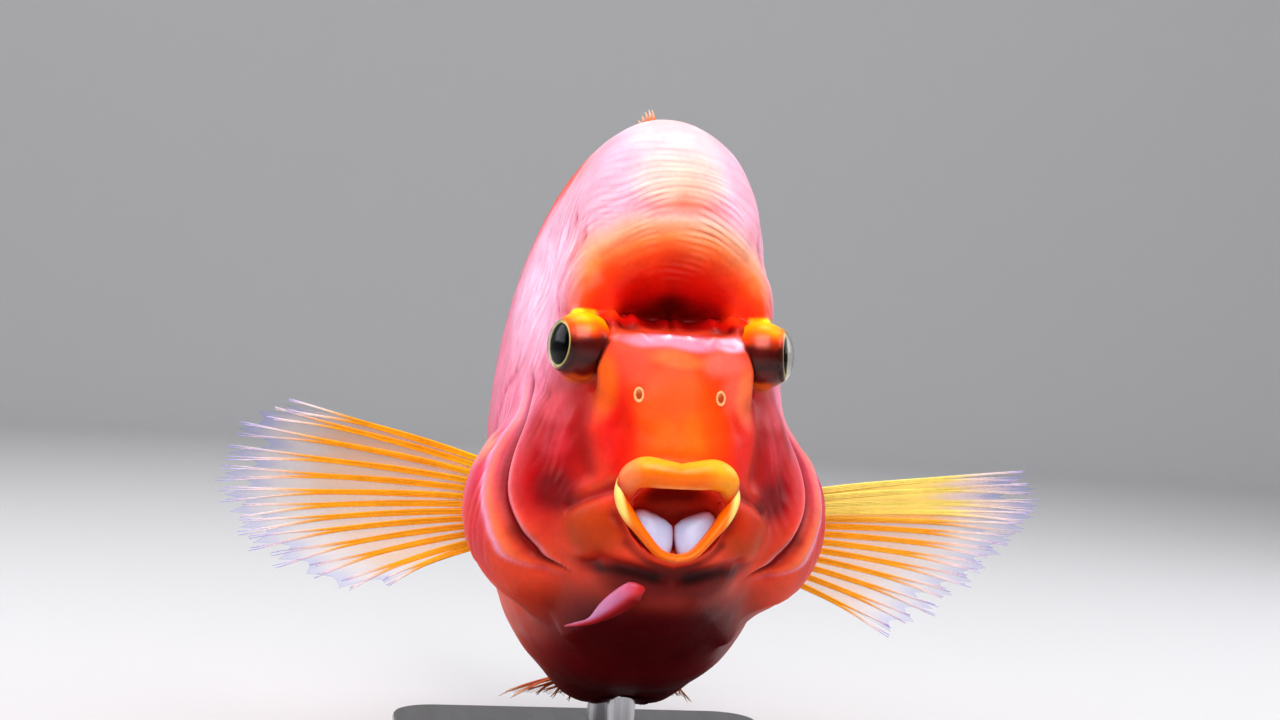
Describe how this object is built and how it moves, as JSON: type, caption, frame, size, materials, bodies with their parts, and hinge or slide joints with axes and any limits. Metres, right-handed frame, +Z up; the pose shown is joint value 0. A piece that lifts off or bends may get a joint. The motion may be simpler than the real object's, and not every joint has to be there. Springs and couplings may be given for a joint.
{
  "type": "blood parrot cichlid model",
  "caption": "Life-size still model of a round, hump-backed cichlid with open mouth and spread pectoral fins, held on short rods over a flat base.",
  "frame": {"origin": "middle of the underside of the stand's base plate", "axes": "+Y from the fish's mouth to its tail, +X to the fish's left, +Z up"},
  "size_m": [0.1695, 0.1959, 0.1399],
  "materials": {
    "skin": "wet, glossy scaled skin",
    "lips": "wet, glossy",
    "mouth": "wet, glossy",
    "eye": "clear and glossy",
    "fin": "thin rayed membrane",
    "stand_plate": "black satin lacquer",
    "stand_steel": "brushed"
  },
  "bodies": {
    "root": {"head": "skin", "torso": "skin", "tail_stalk": "skin", "gill_cover_left": "skin", "gill_cover_right": "skin", "upper_lip": "lips", "lower_lip": "lips", "mouth_floor": "mouth", "eye_left": "eye", "eye_right": "eye", "dorsal_fin": "fin", "anal_fin": "fin", "tail_fin": "fin", "pectoral_fin_left": "fin", "pectoral_fin_right": "fin", "pelvic_fin_left": "fin", "pelvic_fin_right": "fin", "stand_base": "stand_plate", "stand_rod_front": "stand_steel", "stand_rod_rear": "stand_steel"}
  },
  "joints": []
}
